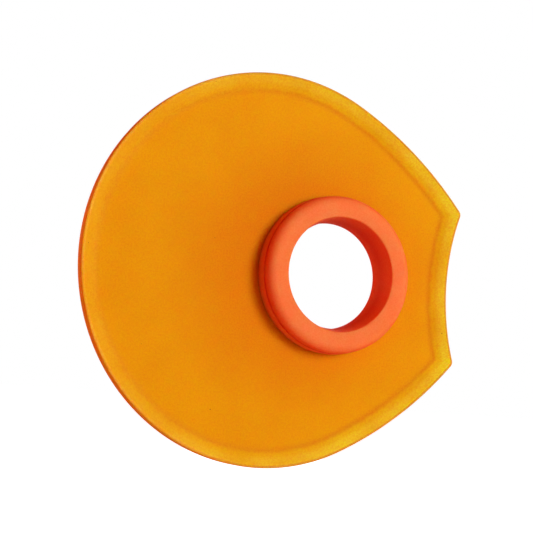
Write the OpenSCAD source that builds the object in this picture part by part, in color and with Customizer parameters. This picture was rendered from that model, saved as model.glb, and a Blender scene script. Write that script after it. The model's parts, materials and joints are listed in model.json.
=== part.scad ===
// Light-guide glare shield: an amber plate with a raised rim and a concave notch, turning in the
// groove of a soft silicone ring that grips a round light guide.
//
// Frame: the bore axis is Y and passes through the origin, which lies on the plate's front face.
// -Y is the front, towards the raised rim and the thick collar. The plate's line of symmetry is X,
// with the notch on the +X side, and +Z is up.

/* [Plate] */
// Radius of the long round edge
plate_r = 30; // [26, 30, 36]
// Thickness of the flat field
plate_t = 1.6; // [1.4, 1.6, 2.2]
// Distance from the bore axis to the centre of the long round edge
plate_shift = 10.2; // [7, 10.2, 12]
// Angle from the line of symmetry at which the flatter side edges begin
side_start = 64; // [58, 64, 68]
// Radius of the flatter side edges
side_r = 60; // [50, 60, 80]

/* [Notch] */
// Distance from the bore axis to the sharp corners of the notch, along the line of symmetry
notch_x = 22.2; // [20, 22.2, 24]
// Radius of the concave edge
notch_r = 37.6; // [36, 37.6, 50]
// Radius that rounds each corner of the notch
tip_r = 1; // [0.6, 1, 1.4]

/* [Raised rim] */
// Height of the rim's crest in front of the flat field
rim_h = 1.4; // [1, 1.4, 2]
// Slope of the rim
rim_angle = 36; // [32, 36, 42]
// Height of the upright outer wall, with its sharp corners
rim_wall = 1.7; // [1.5, 1.7, 2]
// Radius of the crest
crest_r = 0.3; // [0.2, 0.3, 0.4]
// Radius at the foot of the rim, in front
foot_r = 2; // [1, 2, 2.5]
// Radius of the shoulder behind the rim
back_r = 2.6; // [1, 2.6, 2.8]
// Radius of the outer wall's rear edge
heel_r = 0.25; // [0.15, 0.25, 0.35]

/* [Ring] */
// Outer radius of the collar in front of the plate
collar_r = 12.1; // [11.5:0.1:13]
// Height of the collar's front face above the plate
collar_h = 4.05; // [3.7:0.05:5]
// Radius of the collar's front shoulder
shoulder_r = 1.4; // [0.8:0.1:1.6]
// Height of the parting line above the plate
seam_h = 2.4; // [1.6:0.1:2.6]
// Radius of the fine groove at the parting line
seam_r = 0.1; // [0.06:0.02:0.14]
// How far the lower band of the collar bulges
band_bulge = 0.12; // [0:0.02:0.2]
// Outer radius of the flange behind the plate
flange_r = 11; // [10.6:0.1:11.6]
// Thickness of the flange behind the plate
flange_t = 1.2; // [1:0.1:1.6]
// Chamfer on the rear edge of the flange, which leads it through the plate
flange_chamfer = 0.5; // [0.3:0.1:0.7]

/* [Bore] */
// Radius of the land that grips the light guide
bore_r = 8.25; // [7.8:0.05:8.4]
// Start of the land in front of the plate's front face
land_front = 1.2; // [0.6:0.1:1.6]
// End of the land behind the plate's front face
land_back = 1.5; // [1.2:0.1:1.6]
// Radius of the front mouth
mouth_r = 8.75; // [8.6:0.05:9]
// Radius that rounds the front mouth's edge
mouth_round = 0.25; // [0.15:0.05:0.5]
// How much wider than the land the rear mouth is
rear_flare = 0.75; // [0.6:0.05:0.9]

/* [Groove] */
// Radius of the groove's floor
neck_r = 9.8; // [9.6:0.05:10]
// Running clearance between the plate's hole and the groove's floor
hole_play = 0.05; // [0.02:0.01:0.08]
// Running clearance on each face of the plate
face_play = 0.03; // [0.02:0.01:0.06]

/* [Hidden] */
$fn = 180;
amber = [0.93, 0.57, 0.04];
silicone = [0.97, 0.42, 0.16];
// Half the depth of the blocks that cut the plate, and the length of their sides
deep = 6;
reach = 90;

// Centres of the edges and of the upper tip, as [x, z]
side_c = [-plate_shift, 0] - (side_r - plate_r) * ray(side_start);
corner_z = side_c[1] + sqrt(pow(side_r, 2) - pow(notch_x - side_c[0], 2));
notch_c = [notch_x + sqrt(pow(notch_r, 2) - pow(corner_z, 2)), 0];
tip_c = meet(side_c, side_r - tip_r, notch_c, notch_r + tip_r);
// How far the cylinder that rounds a tip stands outside the two edges
tip_proud = 0.01;

// Depths and insets of the rim's sharp corners, before they are rounded
crest_y = -rim_h - crest_r * (1 / cos(rim_angle) + tan(rim_angle) - 1);
foot_s = -crest_y / tan(rim_angle);
heel_y = rim_wall - rim_h;
back_s = (plate_t - heel_y) / tan(rim_angle);

flange_y = plate_t + face_play;
rear_y = flange_y + flange_t;

// Unit vector at an angle
function ray(a) = [cos(a), sin(a)];

// Where two circles meet, on the left of the line from the first centre to the second
function meet(c1, r1, c2, r2) =
    let (
        d = norm(c2 - c1),
        u = (c2 - c1) / d,
        a = (pow(r1, 2) - pow(r2, 2) + pow(d, 2)) / (2 * d),
        h = sqrt(pow(r1, 2) - pow(a, 2))
    )
    c1 + a * u + h * [-u[1], u[0]];

// The sliver between a corner and the arc that rounds it. The corner's two sides leave it at the
// angles a and b.
module corner_bit(corner, a, b, r) {
    half = (b - a) / 2;
    side = r / tan(half);
    centre = corner + r / sin(half) * ray((a + b) / 2);
    difference() {
        polygon([corner, corner + side * ray(a), centre, corner + side * ray(b)]);
        translate(centre) circle(r);
    }
}

// Everything behind the plate's front surface, as [inset from the edge, depth]
module front_section(width) {
    difference() {
        polygon([[0, deep], [0, crest_y], [foot_s, 0], [width, 0], [width, deep]]);
        corner_bit([0, crest_y], rim_angle, 90, crest_r);
    }
    corner_bit([foot_s, 0], rim_angle - 180, 0, foot_r);
}

// Everything in front of the plate's back surface
module back_section(width) {
    difference() {
        polygon([[0, -deep], [0, heel_y], [back_s, plate_t], [width, plate_t], [width, -deep]]);
        corner_bit([0, heel_y], -90, rim_angle, heel_r);
        corner_bit([back_s, plate_t], rim_angle - 180, 0, back_r);
    }
}

// The plate itself, near its edge
module rim_section(width) {
    intersection() {
        front_section(width);
        back_section(width);
    }
}

// A section turned about the Y direction
module turned() {
    rotate([-90, 0, 0]) rotate_extrude() children();
}

// A section of a convex edge, whose insets run towards the centre, turned about that centre
module turned_inward(r) {
    turned() translate([r, 0]) mirror([1, 0]) children();
}

// The frame of the long round edge, and of the upper side edge. Their shared normal, where one edge
// passes into the other, is the local X axis of both.
module at_round() {
    translate([-plate_shift, 0, 0]) rotate([0, -side_start, 0]) children();
}

module at_side() {
    at_round() translate([plate_r - side_r, 0, 0]) children();
}

module at_notch() {
    translate([notch_c[0], 0, 0]) children();
}

// All that lies above, or below, the local X axis
module above() {
    translate([-reach, -deep, 0]) cube([2 * reach, 2 * deep, reach]);
}

module below() {
    mirror([0, 0, 1]) above();
}

// The dished disc inside the long round edge
module round_part() {
    difference() {
        at_round() turned_inward(plate_r) rim_section(plate_r);
        at_round() below();
    }
}

// The stretch inside the side edge and the notch. Its front surface is the higher of the two rims,
// and its back surface the one further forward.
module notch_part() {
    intersection() {
        at_round() below();
        union() {
            at_side() turned_inward(side_r) front_section(side_r);
            at_notch() turned() translate([notch_r, 0]) front_section(reach);
        }
        at_side() turned_inward(side_r) back_section(side_r);
        at_notch() turned() translate([notch_r, 0]) back_section(reach);
    }
}

// What is cut away beyond the round tip. Standing slightly proud, its cylinder crosses both edges
// cleanly.
module tip_cut() {
    to_side = (tip_c - side_c) / norm(tip_c - side_c);
    to_notch = (notch_c - tip_c) / norm(notch_c - tip_c);
    to_corner = (to_side + to_notch) / norm(to_side + to_notch);
    centre = tip_c + tip_proud * to_corner;
    far = 4 * tip_r;
    difference() {
        rotate([90, 0, 0]) linear_extrude(2 * deep, center = true) polygon([
            tip_c, tip_c + far * to_side, tip_c + far * (to_side + to_notch), tip_c + far * to_notch
        ]);
        translate([centre[0], 0, centre[1]]) turned() translate([0, -2 * deep]) square([tip_r, 4 * deep]);
    }
}

module upper_half() {
    intersection() {
        union() {
            round_part();
            difference() {
                notch_part();
                tip_cut();
            }
        }
        above();
    }
}

module shield_plate() {
    color(amber) difference() {
        union() {
            upper_half();
            mirror([0, 0, 1]) upper_half();
        }
        turned() translate([0, -deep]) square([neck_r + hole_play, 2 * deep]);
    }
}

// Front collar: flat face, round shoulder, parting line and a slightly bulging lower band
module collar_section() {
    bulge_r = (pow(seam_h / 2, 2) + pow(band_bulge, 2)) / (2 * max(band_bulge, 0.01));
    difference() {
        union() {
            translate([mouth_r, -collar_h]) square([collar_r - mouth_r, collar_h - face_play]);
            intersection() {
                translate([collar_r + band_bulge - bulge_r, -seam_h / 2]) circle(bulge_r);
                translate([mouth_r, -seam_h]) square([collar_r, seam_h - face_play]);
            }
        }
        corner_bit([collar_r, -collar_h], 90, 180, shoulder_r);
        translate([collar_r, -seam_h]) circle(seam_r);
    }
}

// The bore's land with its long front mouth and short rear mouth
module bore_section() {
    polygon([
        [0, -deep], [mouth_r, -deep], [mouth_r, -collar_h], [bore_r, -land_front],
        [bore_r, land_back], [bore_r + rear_flare, rear_y], [bore_r + rear_flare, deep], [0, deep]
    ]);
    corner_bit([mouth_r, -collar_h], 0, 90, mouth_round);
}

module silicone_ring() {
    color(silicone) turned() difference() {
        union() {
            collar_section();
            translate([0, -collar_h]) square([neck_r, rear_y + collar_h]);
            translate([0, flange_y]) polygon([
                [0, 0], [flange_r, 0], [flange_r, flange_t - flange_chamfer],
                [flange_r - flange_chamfer, flange_t], [0, flange_t]
            ]);
        }
        bore_section();
    }
}

shield_plate();
silicone_ring();
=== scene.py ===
"""Looks of the light-guide glare shield: a frosted amber plate turning in an orange silicone ring.

Everything is in metres in the row frame: Y is the bore axis with the front at -Y, X is the plate's
line of symmetry with the notch at +X, and Z is up.
"""

import json
import math
import bmesh
import bpy
from mathutils import Matrix, Vector


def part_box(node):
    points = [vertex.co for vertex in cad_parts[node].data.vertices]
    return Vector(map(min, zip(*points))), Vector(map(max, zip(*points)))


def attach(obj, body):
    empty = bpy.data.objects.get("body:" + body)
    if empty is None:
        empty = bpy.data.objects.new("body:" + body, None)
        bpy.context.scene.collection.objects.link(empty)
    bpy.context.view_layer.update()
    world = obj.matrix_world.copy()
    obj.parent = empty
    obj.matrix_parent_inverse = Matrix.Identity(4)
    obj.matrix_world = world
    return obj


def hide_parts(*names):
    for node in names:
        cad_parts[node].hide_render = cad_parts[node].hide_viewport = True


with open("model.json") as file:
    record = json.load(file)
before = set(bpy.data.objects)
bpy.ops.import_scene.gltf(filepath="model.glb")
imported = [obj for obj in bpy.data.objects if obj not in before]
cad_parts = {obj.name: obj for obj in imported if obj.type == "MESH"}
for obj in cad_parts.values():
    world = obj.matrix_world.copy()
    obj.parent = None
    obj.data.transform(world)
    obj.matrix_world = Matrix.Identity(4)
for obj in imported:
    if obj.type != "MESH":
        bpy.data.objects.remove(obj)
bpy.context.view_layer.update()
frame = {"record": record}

MM = 0.001

# ---------------------------------------------------------------- sizes, as in the CAD part

PLATE_LOW, PLATE_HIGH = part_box("shield_plate")
RING_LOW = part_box("silicone_ring")[0]
BORE_R = frame["record"]["mounts"][0]["dims"]["r_mm"] * MM

PLATE_R = round(PLATE_HIGH.z, 4)
PLATE_SHIFT = round(-PLATE_LOW.x - PLATE_R, 4)
PLATE_T = PLATE_HIGH.y
SIDE_START = math.radians(64)
SIDE_R = 2 * PLATE_R
NOTCH_X = 22.2 * MM
NOTCH_R = 37.6 * MM
TIP_R = 1.0 * MM
# Least radius of a tip as the outline shrinks towards the flat field
TIP_FILLET = 0.7 * MM

RIM_H = -PLATE_LOW.y
RIM_ANGLE = math.radians(36)
RIM_WALL = 1.7 * MM
CREST_R = 0.3 * MM
FOOT_R = 2.0 * MM
BACK_R = 2.6 * MM
HEEL_R = 0.25 * MM

COLLAR_R = 12.1 * MM
COLLAR_H = -RING_LOW.y
SHOULDER_R = 1.4 * MM
SEAM_H = 2.4 * MM
SEAM_R = 0.1 * MM
BAND_BULGE = 0.12 * MM
FLANGE_R = 11.0 * MM
FLANGE_T = 1.2 * MM
FLANGE_CHAMFER = 0.5 * MM
LAND_FRONT = 1.2 * MM
LAND_BACK = 1.5 * MM
MOUTH_R = 8.75 * MM
MOUTH_ROUND = 0.25 * MM
REAR_FLARE = 0.75 * MM
NECK_R = 9.8 * MM
HOLE_R = NECK_R + 0.05 * MM
FACE_PLAY = 0.03 * MM
# How far the collar's foot is rounded in where it meets the plate
FOOT_TUCK = 0.1 * MM
# Shares of the lower band's half height that it fills towards the parting line and the plate
BAND_TO_SEAM = 0.91
BAND_TO_PLATE = 0.93

# Steps along the curves of the meshes
ROUND_STEPS = 150
SIDE_STEPS = 60
TIP_STEPS = 12
NOTCH_STEPS = 40
BEND_STEPS = 10
HEEL_STEPS = 6
RING_STEPS = 288
MOUTH_STEPS = 8
SHOULDER_STEPS = 16
SEAM_STEPS = 6
BAND_STEPS = 12

# How much painted shade, as deeper red, the ring takes along its section: 0 on the lit front face,
# 1 in the parting line
SHADE_WALL = 0.5
SHADE_BAND_TOP = 0.65
SHADE_SEAM_SIDE = 0.8
SHADE_LAND = 0.85


# ---------------------------------------------------------------- flat geometry


def ray(angle):
    return Vector((math.cos(angle), math.sin(angle)))


def meet(c1, r1, c2, r2):
    """Where two circles meet, on the left of the line from the first centre to the second."""
    d = (c2 - c1).length
    u = (c2 - c1) / d
    a = (r1 * r1 - r2 * r2 + d * d) / (2 * d)
    h = math.sqrt(max(r1 * r1 - a * a, 0))
    return c1 + a * u + h * Vector((-u.y, u.x))


def arc(centre, radius, start, end, steps):
    """Points on an arc, both ends included."""
    turns = (start + (end - start) * i / steps for i in range(steps + 1))
    return [centre + radius * ray(t) for t in turns]


def rounded(corner, a, b, radius, steps):
    """The arc that rounds a corner whose two sides leave it at the angles a and b, from a to b."""
    half = (b - a) / 2
    centre = corner + radius / math.sin(half) * ray((a + b) / 2)
    return arc(centre, radius, a - math.pi / 2, b - 1.5 * math.pi, steps)


# ---------------------------------------------------------------- plate

ROUND_C = Vector((-PLATE_SHIFT, 0))
SIDE_C = ROUND_C - (SIDE_R - PLATE_R) * ray(SIDE_START)
CORNER_Z = SIDE_C.y + math.sqrt(SIDE_R**2 - (NOTCH_X - SIDE_C.x) ** 2)
NOTCH_C = Vector((NOTCH_X + math.sqrt(NOTCH_R**2 - CORNER_Z**2), 0))
# Inset from the edge beyond which the plate is flat
FLAT_INSET = 5.0 * MM


def angle_of(v):
    return math.atan2(v.y, v.x)


def upper_outline(inset):
    """The plate's outline shrunk by inset, from the left end of the long round edge over the top to
    the middle of the notch, as [x, z] points. The steps are the same at every inset."""
    tip_r = max(TIP_R - inset, TIP_FILLET)
    tip_c = meet(SIDE_C, SIDE_R - inset - tip_r, NOTCH_C, NOTCH_R + inset + tip_r)
    side_end = angle_of(tip_c - SIDE_C)
    notch_start = angle_of(NOTCH_C - tip_c)
    corner = tip_c + tip_r * ray(notch_start)
    notch_angle = angle_of(corner - NOTCH_C)
    points = arc(ROUND_C, PLATE_R - inset, math.pi, SIDE_START, ROUND_STEPS)
    points += arc(SIDE_C, SIDE_R - inset, SIDE_START, side_end, SIDE_STEPS)[1:]
    points += arc(tip_c, tip_r, side_end, notch_start, TIP_STEPS)[1:]
    points += arc(NOTCH_C, NOTCH_R + inset, notch_angle, math.pi, NOTCH_STEPS)[1:]
    return points


def outline(inset):
    """The whole outline shrunk by inset, once round."""
    upper = upper_outline(inset)
    return upper + [Vector((p.x, -p.y)) for p in reversed(upper[1:-1])]


def rim_profile():
    """The plate's section from the flat field in front, over the rim, to the flat field behind, as
    [inset, depth] points."""
    lean = RIM_ANGLE
    crest = Vector((0, -RIM_H - CREST_R * (1 / math.cos(lean) + math.tan(lean) - 1)))
    foot = Vector((-crest.y / math.tan(lean), 0))
    heel = Vector((0, RIM_WALL - RIM_H))
    shoulder = Vector(((PLATE_T - heel.y) / math.tan(lean), PLATE_T))
    front = rounded(foot, lean - math.pi, 0, FOOT_R, BEND_STEPS)[::-1]
    top = rounded(crest, lean, math.pi / 2, CREST_R, BEND_STEPS)
    low = rounded(heel, -math.pi / 2, lean, HEEL_R, HEEL_STEPS)
    back = rounded(shoulder, lean - math.pi, 0, BACK_R, BEND_STEPS)
    return (
        [Vector((FLAT_INSET, 0))]
        + front
        + top
        + low
        + back
        + [Vector((FLAT_INSET, PLATE_T))]
    )


def to_hole(loop, share):
    """A loop drawn in towards the plate's hole by a share of the way."""
    return [p.lerp(HOLE_R * p.normalized(), share) for p in loop]


def mesh_object(name, rows, note, notes):
    """A mesh through rows of points, each a closed loop; the last row joins the first. Each row's
    number in notes is stored on its points under the name note, for the material."""
    mesh = bpy.data.meshes.new(name)
    n = len(rows[0])
    flat = [tuple(p) for row in rows for p in row]
    faces = []
    for r in range(len(rows)):
        a, b = r * n, ((r + 1) % len(rows)) * n
        for i in range(n):
            j = (i + 1) % n
            faces.append((a + i, a + j, b + j, b + i))
    mesh.from_pydata(flat, [], faces)
    bm = bmesh.new()
    bm.from_mesh(mesh)
    bm.verts.ensure_lookup_table()
    layer = bm.verts.layers.float.new(note)
    for i, vertex in enumerate(bm.verts):
        vertex[layer] = notes[i // n]
    bmesh.ops.remove_doubles(bm, verts=bm.verts, dist=1e-8)
    bmesh.ops.dissolve_degenerate(bm, dist=1e-8, edges=bm.edges)
    bmesh.ops.recalc_face_normals(bm, faces=bm.faces)
    bm.to_mesh(mesh)
    bm.free()
    mesh.shade_smooth()
    mesh.set_sharp_from_angle(angle=math.radians(30))
    piece = bpy.data.objects.new(name, mesh)
    bpy.context.scene.collection.objects.link(piece)
    return piece


def make_plate():
    inner = outline(FLAT_INSET)
    shares = [1, 0.8, 0.6, 0.4, 0.2]
    rim = rim_profile()
    rows = [[(p.x, 0, p.y) for p in to_hole(inner, share)] for share in shares]
    rows += [[(p.x, point.y, p.y) for p in outline(point.x)] for point in rim]
    rows += [[(p.x, PLATE_T, p.y) for p in to_hole(inner, share)] for share in reversed(shares)]
    field = [1] * len(shares)
    insets = field + [point.x / FLAT_INSET for point in rim] + field
    return mesh_object("amber_plate", rows, "inset", insets)


# ---------------------------------------------------------------- ring


def rear_points():
    """The neck through the plate and the flange behind it, round to the bore's rear mouth."""
    rear = PLATE_T + FACE_PLAY + FLANGE_T
    return [
        Vector((NECK_R, -FACE_PLAY)),
        Vector((NECK_R, PLATE_T + FACE_PLAY)),
        Vector((FLANGE_R, PLATE_T + FACE_PLAY)),
        Vector((FLANGE_R, rear - FLANGE_CHAMFER)),
        Vector((FLANGE_R - FLANGE_CHAMFER, rear)),
        Vector((BORE_R + REAR_FLARE, rear)),
    ]


def ring_profile():
    """The ring's section once round, as (point, shade): a [radius, depth] point and how much
    painted shade it takes.
    """
    quarter = math.pi / 2
    mouth_c = Vector((MOUTH_R + MOUTH_ROUND, -COLLAR_H + MOUTH_ROUND))
    mouth = arc(mouth_c, MOUTH_ROUND, math.pi, 3 * quarter, MOUTH_STEPS)
    shoulder_c = Vector((COLLAR_R - SHOULDER_R, -COLLAR_H + SHOULDER_R))
    shoulder = arc(shoulder_c, SHOULDER_R, -quarter, 0, SHOULDER_STEPS)
    seam = arc(Vector((COLLAR_R, -SEAM_H)), SEAM_R, -quarter, -3 * quarter, SEAM_STEPS)
    bulge_r = ((SEAM_H / 2) ** 2 + BAND_BULGE**2) / (2 * BAND_BULGE)
    swing = math.asin(SEAM_H / 2 / bulge_r)
    band_c = Vector((COLLAR_R + BAND_BULGE - bulge_r, -SEAM_H / 2))
    band = arc(band_c, bulge_r, -swing * BAND_TO_SEAM, swing * BAND_TO_PLATE, BAND_STEPS)
    foot = [Vector((COLLAR_R - FOOT_TUCK, -FACE_PLAY))]
    land = [Vector((BORE_R, LAND_BACK)), Vector((BORE_R, -LAND_FRONT))]

    section = [(p, SHADE_WALL * (1 - i / MOUTH_STEPS)) for i, p in enumerate(mouth)]
    section += [
        (p, SHADE_SEAM_SIDE * (i / SHOULDER_STEPS) ** 1.5) for i, p in enumerate(shoulder)
    ]
    section += [(p, 1) for p in seam]
    section += [(band[0], SHADE_SEAM_SIDE), (band[1], SHADE_BAND_TOP)]
    section += [(p, SHADE_WALL) for p in band[2:] + foot + rear_points()]
    return section + [(p, SHADE_LAND) for p in land]


def make_ring():
    section = ring_profile()
    turns = [ray(2 * math.pi * i / RING_STEPS) for i in range(RING_STEPS)]
    rows = [[(p.x * t.x, p.y, p.x * t.y) for t in turns] for p, _ in section]
    return mesh_object("silicone_grommet", rows, "painted_shade", [painted_shade for _, painted_shade in section])


# ---------------------------------------------------------------- materials

GRAIN_SIZE = 0.25 * MM
BUMP_DEPTH = 0.02 * MM


def new_material(name):
    material = bpy.data.materials.new(name)
    material.use_nodes = True
    return material, material.node_tree


def own_place(tree):
    """Where a point lies in the piece's own coordinates."""
    return tree.nodes.new("ShaderNodeTexCoord").outputs["Object"]


def noise(tree, size, detail=2):
    """Noise whose blotches are about size metres across."""
    node = tree.nodes.new("ShaderNodeTexNoise")
    node.inputs["Scale"].default_value = 1 / size
    node.inputs["Detail"].default_value = detail
    tree.links.new(own_place(tree), node.inputs["Vector"])
    return node.outputs["Fac"]


def specks(tree, spacing, radius):
    """1 inside sparse round specks, 0 elsewhere."""
    node = tree.nodes.new("ShaderNodeTexVoronoi")
    node.inputs["Scale"].default_value = 1 / spacing
    tree.links.new(own_place(tree), node.inputs["Vector"])
    return mapped(tree, node.outputs["Distance"], radius / spacing, 0.5 * radius / spacing, 0, 1)


def mapped(tree, value, low, high, to_low, to_high):
    """A number eased from to_low, where value is low, to to_high, where value is high."""
    node = tree.nodes.new("ShaderNodeMapRange")
    node.interpolation_type = "SMOOTHSTEP"
    node.inputs["From Min"].default_value = low
    node.inputs["From Max"].default_value = high
    node.inputs["To Min"].default_value = to_low
    node.inputs["To Max"].default_value = to_high
    tree.links.new(value, node.inputs["Value"])
    return node.outputs["Result"]


def blotches(tree, size, low, high):
    """Noise whose blotches are about size metres across, spread from low to high."""
    return mapped(tree, noise(tree, size), 0.3, 0.7, low, high)


def grained(tree, colour, tint):
    """A colour with a fine grain, multiplied by up to most of the tint."""
    return mixed(tree, blotches(tree, GRAIN_SIZE, 0, 0.8), colour, tint, "MULTIPLY")


def noted(tree, name):
    """A number that the mesh stores on its points."""
    node = tree.nodes.new("ShaderNodeAttribute")
    node.attribute_name = name
    return node.outputs["Fac"]


def across(tree):
    """Distance from the bore axis along the plate's line of symmetry, positive at the notch."""
    node = tree.nodes.new("ShaderNodeSeparateXYZ")
    tree.links.new(own_place(tree), node.inputs["Vector"])
    return node.outputs["X"]


def from_point(tree, point):
    """Distance from a point."""
    node = tree.nodes.new("ShaderNodeVectorMath")
    node.operation = "DISTANCE"
    tree.links.new(own_place(tree), node.inputs[0])
    node.inputs[1].default_value = point
    return node.outputs["Value"]


def plug(tree, value, socket):
    """A link, or a plain value where value is a colour."""
    if isinstance(value, tuple):
        socket.default_value = (*value, 1)
    else:
        tree.links.new(value, socket)


def mixed(tree, share, a, b, kind="MIX"):
    """a where share is 0 and b where it is 1; each is a colour or a node's output."""
    node = tree.nodes.new("ShaderNodeMix")
    node.data_type = "RGBA"
    node.blend_type = kind
    tree.links.new(share, node.inputs["Factor"])
    plug(tree, a, node.inputs[6])
    plug(tree, b, node.inputs[7])
    return node.outputs[2]


def ramp(tree, value, stops):
    """A colour that changes with value, from 0 to 1, through stops of (value, colour)."""
    node = tree.nodes.new("ShaderNodeValToRGB")
    colours = node.color_ramp
    colours.interpolation = "EASE"
    tree.links.new(value, node.inputs["Fac"])
    colours.elements[0].color = (*stops[0][1], 1)
    colours.elements[1].color = (*stops[-1][1], 1)
    for place, colour in stops:
        colours.elements.new(place).color = (*colour, 1)
    return node.outputs["Color"]


def bumped(tree, height, strength):
    """A normal that follows a height from 0 to 1, which stands for BUMP_DEPTH."""
    node = tree.nodes.new("ShaderNodeBump")
    node.inputs["Distance"].default_value = BUMP_DEPTH
    node.inputs["Strength"].default_value = strength
    tree.links.new(height, node.inputs["Height"])
    return node.outputs["Normal"]


def scattered(shader, radius, scale):
    """Light scatters under the surface: each colour's reach is radius times scale."""
    shader.inputs["Subsurface Weight"].default_value = 1.0
    shader.inputs["Subsurface Radius"].default_value = radius
    shader.inputs["Subsurface Scale"].default_value = scale


# Along the line of symmetry, where the painted glow on the rim starts and where it is full
PAINTED_GLOW_START = -45.0 * MM
PAINTED_GLOW_END = 15.0 * MM

# Where the painted shadow round the ring is centred, on the line of symmetry, and the distances
# from there between which it fades out
RING_SHADOW_X = -4.0 * MM
RING_SHADOW_START = 9.0 * MM
RING_SHADOW_END = 26.0 * MM

AMBER_FIELD = (0.8, 0.46, 0.0)
AMBER_DEEP = (0.76, 0.37, 0.0)
# Painted shadow of the ring and its flange on the plate
AMBER_RING_SHADOW = (0.74, 0.24, 0.0)
# Painted shade in the fold at the foot of the rim
AMBER_FOLD_SHADE = (0.76, 0.37, 0.003)
# The field colour with a painted sheen, on the rim's slope
AMBER_RIM_SHEEN = (0.79, 0.45, 0.012)
# Painted glow of light through the rim, fading towards the fold, with a little painted sheen
AMBER_GLOW = (0.9, 0.72, 0.016)
# Painted glow of light through the rim by the notch, with a painted sheen
AMBER_GLOW_FULL = (0.98, 0.92, 0.05)
# Painted highlight along the rim's crest
AMBER_CREST_HIGHLIGHT = (0.95, 0.55, 0.06)
# Painted shade along the outer edge, where the crest turns away, on the notch side
AMBER_EDGE_SHADE = (0.68, 0.4, 0.04)
# Painted red glow in the plate's edge wall, as from light carried along the plate
AMBER_WALL_GLOW = (0.9, 0.36, 0.02)
AMBER_GRAIN = (0.93, 0.72, 0.6)
AMBER_SPECK = (0.25, 0.06, 0.002)


def amber_plastic():
    """Frosted translucent amber with light and shade painted in: a painted glow where the rim thins
    out, above all by the notch, a painted red glow in the edge wall, a painted highlight along the
    crest, a painted sheen on the rim, painted shade in the fold at its foot and along the edge by
    the notch, and a painted shadow round the ring, whose flange stands behind it."""
    material, tree = new_material("frosted_amber_plastic")
    shader = tree.nodes["Principled BSDF"]
    inset = noted(tree, "inset")
    # Painted light along the rim away from the notch: a red glow in the edge wall, a highlight on
    # the crest and a sheen on the slope
    plain = [
        (0, AMBER_WALL_GLOW),
        (0.01, AMBER_WALL_GLOW),
        (0.04, AMBER_CREST_HIGHLIGHT),
        (0.16, AMBER_RIM_SHEEN),
        (0.45, AMBER_RIM_SHEEN),
        (0.7, AMBER_FIELD),
    ]
    # Painted light along the rim on the notch side: shade at the edge, a glow, then shade in the
    # fold
    notch_side_painted_light = [
        (0, AMBER_EDGE_SHADE),
        (0.065, AMBER_EDGE_SHADE),
        (0.1, AMBER_GLOW_FULL),
        (0.22, AMBER_GLOW_FULL),
        (0.38, AMBER_GLOW),
        (0.52, AMBER_FOLD_SHADE),
        (0.68, AMBER_FIELD),
    ]
    # How far the rim takes the notch side's painted light, growing towards the notch
    painted_glow = mapped(tree, across(tree), PAINTED_GLOW_START, PAINTED_GLOW_END, 0, 1)
    by_inset = mixed(tree, painted_glow, ramp(tree, inset, plain), ramp(tree, inset, notch_side_painted_light))
    colour = mixed(tree, blotches(tree, 9 * MM, 0, 0.4), by_inset, AMBER_DEEP)
    # Painted shadow round the ring, centred a little to its left
    ring_shadow = mapped(tree, from_point(tree, (RING_SHADOW_X, 0, 0)), RING_SHADOW_END, RING_SHADOW_START, 0, 0.7)
    colour = mixed(tree, ring_shadow, colour, AMBER_RING_SHADOW)
    colour = grained(tree, colour, AMBER_GRAIN)
    colour = mixed(tree, specks(tree, 4 * MM, 0.1 * MM), colour, AMBER_SPECK)
    plug(tree, colour, shader.inputs["Base Color"])
    plug(tree, blotches(tree, 0.6 * MM, 0.5, 0.65), shader.inputs["Roughness"])
    plug(tree, bumped(tree, noise(tree, 0.3 * MM), 0.35), shader.inputs["Normal"])
    shader.inputs["Specular IOR Level"].default_value = 0.03
    scattered(shader, (1.0, 0.35, 0.03), 2.0 * MM)
    return material


SILICONE = (0.98, 0.29, 0.075)
# Painted shade on the ring's walls and bore
SILICONE_WALL_SHADE = (0.98, 0.14, 0.03)
# Painted shade in the parting line
SILICONE_SEAM_SHADE = (0.75, 0.04, 0.01)
SILICONE_DEEP = (0.9, 0.13, 0.025)
SILICONE_DUST = (1.0, 0.42, 0.22)
SILICONE_GRAIN = (0.97, 0.74, 0.65)


def orange_silicone():
    """Matte orange silicone with a little red light in its depth, dust and small nicks, and painted
    shade in deeper red on its walls, in the bore and in the parting line.
    """
    material, tree = new_material("matte_orange_silicone")
    shader = tree.nodes["Principled BSDF"]
    cloud = mapped(tree, noise(tree, 3.5 * MM, 4), 0.35, 0.7, 0, 0.2)
    # Painted shade: the walls and bore deeper red than the lit front face, darkest in the parting
    # line
    stops = [(0, SILICONE), (0.5, SILICONE_WALL_SHADE), (1, SILICONE_SEAM_SHADE)]
    colour = mixed(tree, cloud, ramp(tree, noted(tree, "painted_shade"), stops), SILICONE_DEEP)
    colour = grained(tree, colour, SILICONE_GRAIN)
    colour = mixed(tree, specks(tree, 2.6 * MM, 0.12 * MM), colour, SILICONE_DUST)
    plug(tree, colour, shader.inputs["Base Color"])
    plug(tree, blotches(tree, 0.5 * MM, 0.6, 0.75), shader.inputs["Roughness"])
    plug(tree, bumped(tree, noise(tree, 0.22 * MM), 0.5), shader.inputs["Normal"])
    shader.inputs["Specular IOR Level"].default_value = 0.12
    scattered(shader, (1.0, 0.05, 0.02), 2.6 * MM)
    return material


# ---------------------------------------------------------------- stage, light and camera

# The camera, as fitted to the photo
CAMERA_AZIMUTH = math.radians(-23.08)
CAMERA_ELEVATION = math.radians(-5.38)
CAMERA_ROLL = math.radians(3.97)
CAMERA_DISTANCE = 210 * MM
CAMERA_AIM = Vector((-9.84 * MM, 1.43 * MM))
CAMERA_LENS = 91.4

FLOOR_HALF = 6
FLOOR_Z = -60 * MM
FILL_COLOUR = (1, 0.12, 0.04, 1)
FILL_STRENGTH = 0.24
WHITE = (1, 1, 1)
GLOW_COLOUR = (1, 0.38, 0.12)


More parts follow.
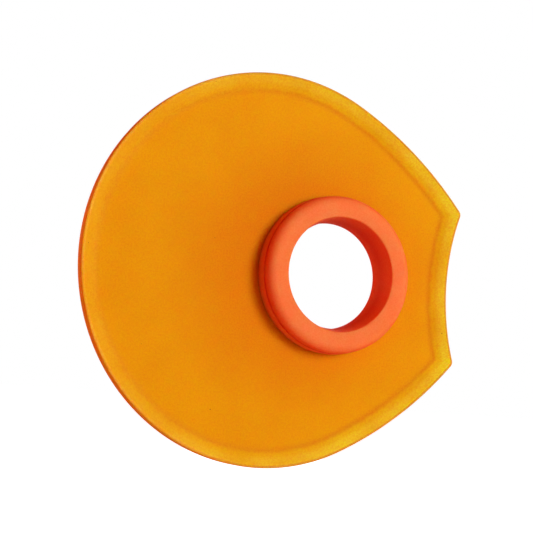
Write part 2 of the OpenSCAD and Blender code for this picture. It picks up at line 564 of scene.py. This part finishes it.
def make_camera():
    """A camera in front of the bore, a little below it and to its left."""
    a, e = CAMERA_AZIMUTH, CAMERA_ELEVATION
    back = Vector((math.sin(a) * math.cos(e), -math.cos(a) * math.cos(e), math.sin(e)))
    level = Vector((math.cos(a), math.sin(a), 0))
    upright = back.cross(level)
    right = level * math.cos(CAMERA_ROLL) + upright * math.sin(CAMERA_ROLL)
    up = back.cross(right)
    data = bpy.data.cameras.new("camera")
    data.lens = CAMERA_LENS
    data.clip_start = 0.01
    camera = bpy.data.objects.new("camera", data)
    place = CAMERA_DISTANCE * back + CAMERA_AIM.x * right + CAMERA_AIM.y * up
    camera.matrix_world = Matrix((right, up, back)).transposed().to_4x4()
    camera.location = place
    bpy.context.scene.collection.objects.link(camera)
    bpy.context.scene.camera = camera


def make_floor():
    """A pale floor that the camera sees as pure white, like the backdrop."""
    mesh = bpy.data.meshes.new("floor")
    corners = [(-1, -1), (1, -1), (1, 1), (-1, 1)]
    points = [(x * FLOOR_HALF, y * FLOOR_HALF, FLOOR_Z) for x, y in corners]
    mesh.from_pydata(points, [], [(0, 1, 2, 3)])
    floor = bpy.data.objects.new("floor", mesh)
    bpy.context.scene.collection.objects.link(floor)
    material, tree = new_material("pale_floor")
    shader = tree.nodes["Principled BSDF"]
    shader.inputs["Base Color"].default_value = (0.9, 0.9, 0.9, 1)
    shader.inputs["Roughness"].default_value = 0.9
    shader.inputs["Emission Color"].default_value = (*WHITE, 1)
    seen = tree.nodes.new("ShaderNodeLightPath")
    plug(tree, seen.outputs["Is Camera Ray"], shader.inputs["Emission Strength"])
    mesh.materials.append(material)


def area_light(name, place, size, power, colour):
    """A round light that faces the bore, size metres across."""
    data = bpy.data.lights.new(name, "AREA")
    data.shape = "DISK"
    data.size = size
    data.energy = power
    data.color = colour
    light = bpy.data.objects.new(name, data)
    light.location = place
    light.rotation_euler = (-Vector(place)).to_track_quat("-Z", "Y").to_euler()
    bpy.context.scene.collection.objects.link(light)


def make_light():
    """A soft key light in front, two weak lights behind the plate, and a dim warm fill. The camera
    itself sees a white backdrop."""
    world = bpy.data.worlds.new("studio")
    bpy.context.scene.world = world
    world.use_nodes = True
    nodes, links = world.node_tree.nodes, world.node_tree.links
    fill = nodes["Background"]
    fill.inputs["Color"].default_value = FILL_COLOUR
    fill.inputs["Strength"].default_value = FILL_STRENGTH
    seen = nodes.new("ShaderNodeBackground")
    seen.inputs["Color"].default_value = (*WHITE, 1)
    path = nodes.new("ShaderNodeLightPath")
    mix = nodes.new("ShaderNodeMixShader")
    links.new(path.outputs["Is Camera Ray"], mix.inputs["Fac"])
    links.new(fill.outputs[0], mix.inputs[1])
    links.new(seen.outputs[0], mix.inputs[2])
    links.new(mix.outputs[0], nodes["World Output"].inputs["Surface"])
    area_light("key", (0.4, -1.0, 0.2), 0.5, 8.8, WHITE)
    area_light("panel", (0.45, 0.5, 0.06), 0.6, 0.9, WHITE)
    area_light("glow", (-0.35, 0.6, 0.12), 0.3, 2.2, GLOW_COLOUR)


bpy.context.scene.view_settings.view_transform = "Standard"
make_camera()
make_floor()
make_light()

plate = make_plate()
plate.data.materials.append(amber_plastic())
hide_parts("shield_plate")
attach(plate, "plate")

ring = make_ring()
ring.data.materials.append(orange_silicone())
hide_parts("silicone_ring")
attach(ring, "ring")
